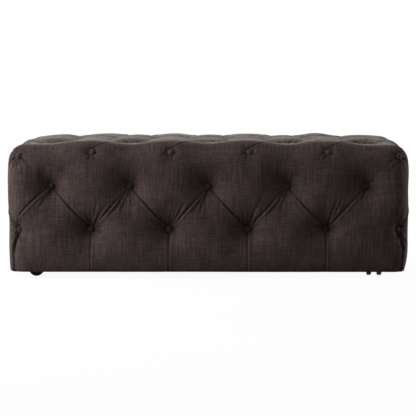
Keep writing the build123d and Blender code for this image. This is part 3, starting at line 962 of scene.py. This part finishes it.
def make_buttons(name, kinds):
    """All the buttons of some kinds as one mesh, each with the cover's linen drawn over it."""
    profile = button_profile()
    own_faces = button_faces(len(profile))
    points, faces, weave, shades = [], [], [], []
    for seat in SEATS:
        if seat.kind not in kinds:
            continue
        first = len(points)
        skin, flat = button_skin(seat, profile)
        points += skin
        faces += [[first + k for k in face] for face in own_faces]
        weave += [flat[k] for face in own_faces for k in face]
        # Painted shade on each button, darker for the buttons sunk deep in their pits
        shades += [PITS[seat.kind].button_shade] * len(skin)
    made = mesh_object(name, points, faces)
    weave_map(made, weave)
    painted_shade_map(made, shades)
    return made


# Dust cover: black cloth stretched under the base board


def plate_openings():
    """Where the dust cover is cut open for the caster plates, as left, right, front and rear."""
    openings = []
    for name in nodes:
        if name.endswith("_caster_plate"):
            low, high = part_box(name)
            openings.append((low.x - PLATE_GAP, high.x + PLATE_GAP, low.y - PLATE_GAP, high.y + PLATE_GAP))
    return openings


def make_dust_cover():
    """The dust cover, sagging a little and open round the caster plates."""
    low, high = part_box("dust_cover")
    middle_z = (low.z + high.z) / 2
    openings = plate_openings()
    x_lines = set(np.linspace(low.x, high.x, DUST_STEPS_X + 1))
    y_lines = set(np.linspace(low.y, high.y, DUST_STEPS_Y + 1))
    for x0, x1, y0, y1 in openings:
        x_lines |= {x0, x1}
        y_lines |= {y0, y1}
    xs, ys = np.array(sorted(x_lines)), np.array(sorted(y_lines))
    points = []
    for x in xs:
        bay = mix(DUST_LEAST_SAG, 1, abs(math.sin(math.pi * x / DUST_BAY)))
        for y in ys:
            sag = (1 - (x / high.x) ** 2) * (1 - (y / high.y) ** 2) * DUST_SAG * bay
            points.append((x, y, middle_z - sag))
    faces = []
    for i in range(len(xs) - 1):
        for j in range(len(ys) - 1):
            x, y = (xs[i] + xs[i + 1]) / 2, (ys[j] + ys[j + 1]) / 2
            if any(x0 < x < x1 and y0 < y < y1 for x0, x1, y0, y1 in openings):
                continue
            first = i * len(ys) + j
            faces.append([first, first + 1, first + len(ys) + 1, first + len(ys)])
    return mesh_object("dust_cloth", points, faces)


# Materials


def add(tree, kind, values=None, **settings):
    """A shader node with its settings, and its inputs set or linked."""
    node = tree.nodes.new(kind)
    for key, value in settings.items():
        setattr(node, key, value)
    for key, value in (values or {}).items():
        if isinstance(value, bpy.types.NodeSocket):
            tree.links.new(value, node.inputs[key])
        else:
            node.inputs[key].default_value = value
    return node


def maths(tree, operation, first, second=0.0):
    """What a sum, product or other operation makes of one or two values."""
    return add(tree, "ShaderNodeMath", {0: first, 1: second}, operation=operation).outputs[0]


def weighted(tree, *parts):
    """The sum of values, each times its weight."""
    total = 0.0
    for value, weight in parts:
        total = maths(tree, "ADD", total, maths(tree, "MULTIPLY", value, weight))
    return total


def noise(tree, place, scale, detail=2.0, offset=(0, 0, 0), roughness=0.5):
    """Noise stretched by a scale along each axis of a place."""
    mapping = add(tree, "ShaderNodeMapping", {"Vector": place, "Scale": scale, "Location": offset})
    values = {"Vector": mapping.outputs[0], "Scale": 1.0, "Detail": detail, "Roughness": roughness}
    return add(tree, "ShaderNodeTexNoise", values).outputs["Fac"]


def cells(tree, place, scale):
    """Distance to the middle of the nearest of many small cells."""
    return add(tree, "ShaderNodeTexVoronoi", {"Vector": place, "Scale": scale}).outputs["Distance"]


def ramp(tree, factor, stops):
    """A colour ramp from (position, colour) stops."""
    node = add(tree, "ShaderNodeValToRGB", {"Fac": factor})
    elements = node.color_ramp.elements
    while len(elements) < len(stops):
        elements.new(0.5)
    for element, (position, colour) in zip(elements, stops):
        element.position = position
        element.color = (*colour, 1)
    return node.outputs["Color"]


def span(tree, value, start, end):
    """A value carried over from one range to another, and kept within it."""
    values = {"Value": value, "From Min": start[0], "From Max": start[1], "To Min": end[0], "To Max": end[1]}
    return add(tree, "ShaderNodeMapRange", values).outputs["Result"]


def new_material(name, **constants):
    """A material whose shader has these constants, with its tree and shader."""
    made = bpy.data.materials.new(name)
    made.use_nodes = True
    shader = made.node_tree.nodes["Principled BSDF"]
    for key, value in constants.items():
        shader.inputs[key.replace("_", " ")].default_value = value
    return made, made.node_tree, shader


def link(tree, value, shader, key):
    """Feeds a value into one of a shader's inputs."""
    tree.links.new(value, shader.inputs[key])


def coloured(tree, shader, factor, stops):
    """Gives a shader the colours of a ramp."""
    link(tree, ramp(tree, factor, stops), shader, "Base Color")


def bump(tree, shader, height, strength, distance):
    """Makes a shader's surface look raised by a height."""
    node = add(tree, "ShaderNodeBump", {"Height": height, "Strength": strength, "Distance": distance})
    link(tree, node.outputs["Normal"], shader, "Normal")


def object_place(tree):
    """The place on the object that is being shaded, in metres."""
    return add(tree, "ShaderNodeTexCoord").outputs["Object"]


def linen():
    """Slubby linen: thick and thin threads both ways, with a dusty bloom at grazing angles and shade painted
    into its colour.
    """
    made, tree, shader = new_material(
        "linen",
        Sheen_Weight=0.35,
        Sheen_Roughness=0.45,
        Sheen_Tint=(0.62, 0.54, 0.51, 1),
        Specular_IOR_Level=0.1,
    )
    place = add(tree, "ShaderNodeUVMap", uv_map="weave").outputs["UV"]
    fine_warp = noise(tree, place, (900, 30, 1), detail=1.5)
    fine_weft = noise(tree, place, (30, 900, 1), detail=1.5, offset=(3, 5, 0))
    slub_warp = noise(tree, place, (330, 9, 1), detail=1.0, offset=(7, 1, 0))
    slub_weft = noise(tree, place, (9, 330, 1), detail=1.0, offset=(1, 9, 0))
    mottle = noise(tree, place, (26, 26, 1), detail=3.0)
    pattern = weighted(
        tree,
        (fine_warp, 0.28),
        (fine_weft, 0.28),
        (slub_warp, 0.234),
        (slub_weft, 0.126),
        (mottle, 0.08),
    )
    # Painted shade: the colour is darkened in pleats, wrinkles, pits, on the buttons and along the hem
    painted_shade = add(tree, "ShaderNodeAttribute", attribute_name="painted_shade").outputs["Fac"]
    shade = span(tree, painted_shade, (0, 1), (1.0, FULL_PAINTED_SHADE))
    colour = ramp(tree, pattern, LINEN_COLOURS)
    shaded = add(tree, "ShaderNodeVectorMath", {0: colour, "Scale": shade}, operation="SCALE")
    link(tree, shaded.outputs["Vector"], shader, "Base Color")
    link(tree, span(tree, pattern, (0.35, 0.65), (0.95, 0.78)), shader, "Roughness")
    turn = 2 * math.pi / WEAVE_PITCH
    threads = add(tree, "ShaderNodeMapping", {"Vector": place, "Scale": (turn, turn, 1)})
    turns = add(tree, "ShaderNodeSeparateXYZ", {"Vector": threads.outputs[0]}).outputs
    warp = maths(tree, "SINE", turns["X"])
    weft = maths(tree, "SINE", turns["Y"])
    weave = maths(tree, "MULTIPLY", warp, weft)
    height = weighted(tree, (weave, 0.12), (pattern, 1.0))
    bump(tree, shader, height, strength=0.55, distance=0.0012)
    return made


def foam():
    """Yellowed foam with small cells."""
    made, tree, shader = new_material("foam", Roughness=0.95)
    place = object_place(tree)
    age = noise(tree, place, (14, 14, 14), detail=4.0)
    coloured(tree, shader, age, [(0.3, (0.66, 0.58, 0.40)), (0.7, (0.83, 0.77, 0.60))])
    bump(tree, shader, cells(tree, place, 650.0), strength=0.5, distance=0.0008)
    return made


def wood(name, scale, pale, dark, rings):
    """Wood with its grain along the axis of the smallest scale, banded by some rings."""
    made, tree, shader = new_material(name)
    place = object_place(tree)
    fibre = noise(tree, place, scale, detail=6.0, roughness=0.65)
    figure = noise(tree, place, [k * 0.18 for k in scale], detail=2.0, offset=(2, 4, 1))
    bands = maths(tree, "SINE", maths(tree, "MULTIPLY", figure, rings))
    grain = weighted(tree, (fibre, 0.7), (bands, 0.12))
    coloured(tree, shader, grain, [(0.2, dark), (0.55, pale)])
    link(tree, span(tree, fibre, (0.3, 0.7), (0.75, 0.5)), shader, "Roughness")
    bump(tree, shader, grain, strength=0.35, distance=0.0008)
    return made


def steel():
    """Zinc-plated steel with fine scratches and dull patches."""
    made, tree, shader = new_material("zinc_steel", Metallic=1.0)
    place = object_place(tree)
    patches = noise(tree, place, (160, 160, 160), detail=3.0)
    scratches = noise(tree, place, (2400, 180, 900), detail=2.0)
    coloured(tree, shader, patches, [(0.3, (0.46, 0.46, 0.45)), (0.7, (0.66, 0.66, 0.67))])
    link(tree, span(tree, patches, (0.3, 0.7), (0.28, 0.5)), shader, "Roughness")
    bump(tree, shader, scratches, strength=0.12, distance=0.0002)
    return made


def moulded(name, dark, worn, grain):
    """Black moulded nylon with a fine spark-eroded grain, dust and scuffs."""
    made, tree, shader = new_material(name, Specular_IOR_Level=0.1)
    place = object_place(tree)
    fine = noise(tree, place, (grain, grain, grain), detail=2.0)
    scuff = noise(tree, place, (70, 70, 240), detail=5.0, roughness=0.7)
    coloured(tree, shader, scuff, [(0.52, dark), (0.74, worn)])
    link(tree, span(tree, scuff, (0.4, 0.75), (0.36, 0.7)), shader, "Roughness")
    bump(tree, shader, fine, strength=0.25, distance=0.0003)
    return made


def dust_weave():
    """Thin black non-woven cloth with pressed dots."""
    made, tree, shader = new_material("dust_weave", Specular_IOR_Level=0.2)
    place = object_place(tree)
    fuzz = noise(tree, place, (90, 90, 90), detail=5.0)
    coloured(tree, shader, fuzz, [(0.3, (0.010, 0.010, 0.011)), (0.75, (0.030, 0.030, 0.032))])
    link(tree, span(tree, fuzz, (0.3, 0.7), (0.95, 0.75)), shader, "Roughness")
    bump(tree, shader, cells(tree, place, 520.0), strength=0.4, distance=0.0005)
    return made


def twine():
    """Natural twine with its strands showing."""
    made, tree, shader = new_material("twine", Roughness=0.85)
    strands = noise(tree, object_place(tree), (900, 900, 500), detail=2.0)
    coloured(tree, shader, strands, [(0.3, (0.42, 0.38, 0.30)), (0.7, (0.70, 0.66, 0.56))])
    bump(tree, shader, strands, strength=0.6, distance=0.0004)
    return made


def dress(made, material):
    """Gives an object one material in place of any it has."""
    made.data.materials.clear()
    made.data.materials.append(material)


def look_of(name):
    """Which look a CAD piece has, told by its name."""
    if "wheel" in name:
        return "wheel"
    if name.endswith("caster_body"):
        return "caster_body"
    if name.endswith("twines"):
        return "twine"
    if name.endswith("_post"):
        return "tall_wood"
    if name.endswith("bearer") or (name.endswith("rail") and name.startswith(("left", "right"))):
        return "deep_wood"
    if name.endswith("rail"):
        return "long_wood"
    if name.endswith(("_panel", "_deck", "_board")):
        return "plywood"
    return "steel"


def dress_nodes():
    """Gives every CAD piece its finished material."""
    looks = {
        "wheel": moulded("wheel_nylon", NYLON, WORN_WHEEL, grain=2600.0),
        "caster_body": moulded("caster_nylon", NYLON, WORN_BODY, grain=3400.0),
        "twine": twine(),
        "long_wood": wood("softwood_long", (9, 240, 240), *PINE, rings=40.0),
        "deep_wood": wood("softwood_deep", (240, 9, 240), *PINE, rings=40.0),
        "tall_wood": wood("softwood_tall", (240, 240, 9), *PINE, rings=40.0),
        "plywood": wood("plywood", (8, 170, 260), *PLYWOOD, rings=55.0),
        "steel": steel(),
    }
    for name, node in nodes.items():
        dress(node, looks[look_of(name)])


# Studio


def aim(made, place, target):
    """Puts a lamp or camera in place and turns it to a target."""
    made.location = place
    made.rotation_euler = (Vector(target) - Vector(place)).to_track_quat("-Z", "Y").to_euler()


def seen_ray(tree):
    """1 for rays that show the background itself, 0 for rays that light the object."""
    path = add(tree, "ShaderNodeLightPath").outputs
    seen = maths(tree, "MAXIMUM", path["Is Camera Ray"], path["Is Glossy Ray"])
    return maths(tree, "MAXIMUM", seen, path["Is Transmission Ray"])


def make_world():
    """A world that is white to look at and gives the object only a little light."""
    world = bpy.data.worlds.new("studio")
    world.use_nodes = True
    tree = world.node_tree
    back = tree.nodes["Background"]
    back.inputs["Color"].default_value = (1, 1, 1, 1)
    link(tree, span(tree, seen_ray(tree), (0, 1), (WORLD_LIGHT, 1.0)), back, "Strength")
    bpy.context.scene.world = world


def make_floor():
    """A floor that is white to look at, with a faint shadow, and throws little light on the object."""
    corners = [(x * FLOOR_HALF, y * FLOOR_HALF, 0) for x, y in ((-1, -1), (1, -1), (1, 1), (-1, 1))]
    floor = mesh_object("floor", corners, [(0, 1, 2, 3)])
    made, tree, shader = new_material("floor_white", Base_Color=FLOOR_TO_OBJECT, Roughness=0.8)
    away = add(tree, "ShaderNodeVectorMath", {0: object_place(tree)}, operation="LENGTH").outputs["Value"]
    strength = span(tree, away, FLOOR_RUN, (FLOOR_WHITE, 1 / FLOOR_GLOW))
    glow = add(tree, "ShaderNodeEmission", {"Color": (1, 1, 1, 1), "Strength": strength}).outputs[0]
    matt = add(tree, "ShaderNodeBsdfDiffuse", {"Color": FLOOR_MATT}).outputs[0]
    shown = add(tree, "ShaderNodeMixShader", {0: FLOOR_GLOW, 1: matt, 2: glow}).outputs[0]
    surface = add(tree, "ShaderNodeMixShader", {0: seen_ray(tree), 1: shader.outputs[0], 2: shown})
    link(tree, surface.outputs[0], tree.nodes["Material Output"], "Surface")
    dress(floor, made)


def area_light(name, lamp):
    """A rectangular lamp aimed at its target."""
    light = bpy.data.lights.new(name, "AREA")
    light.shape = "RECTANGLE"
    light.size = lamp.width
    light.size_y = lamp.height
    light.energy = lamp.power
    aim(new_object(name, light), lamp.place, lamp.target)


def make_camera():
    """The camera of the photograph."""
    lens = bpy.data.cameras.new("camera")
    lens.lens = CAMERA_LENS
    lens.clip_end = CAMERA_REACH
    made = new_object("camera", lens)
    aim(made, CAMERA_PLACE, CAMERA_TARGET)
    bpy.context.scene.camera = made


# Everything put together

fabric = linen()
for cover in make_cover():
    dress(cover, fabric)
    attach(cover, BODY)
    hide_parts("cover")

foam_look = foam()
for face in FACES:
    pad = make_pad(face)
    dress(pad, foam_look)
    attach(pad, BODY)
    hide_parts(face + "_pad")

for node, kinds in BUTTON_GROUPS.items():
    group = make_buttons("covered_" + node, kinds)
    dress(group, fabric)
    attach(group, BODY)
    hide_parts(node)

dust = make_dust_cover()
dress(dust, dust_weave())
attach(dust, BODY)
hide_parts("dust_cover")

dress_nodes()
make_world()
make_floor()
for name, lamp in LAMPS.items():
    area_light(name, lamp)
make_camera()
bpy.context.scene.view_settings.view_transform = "Standard"
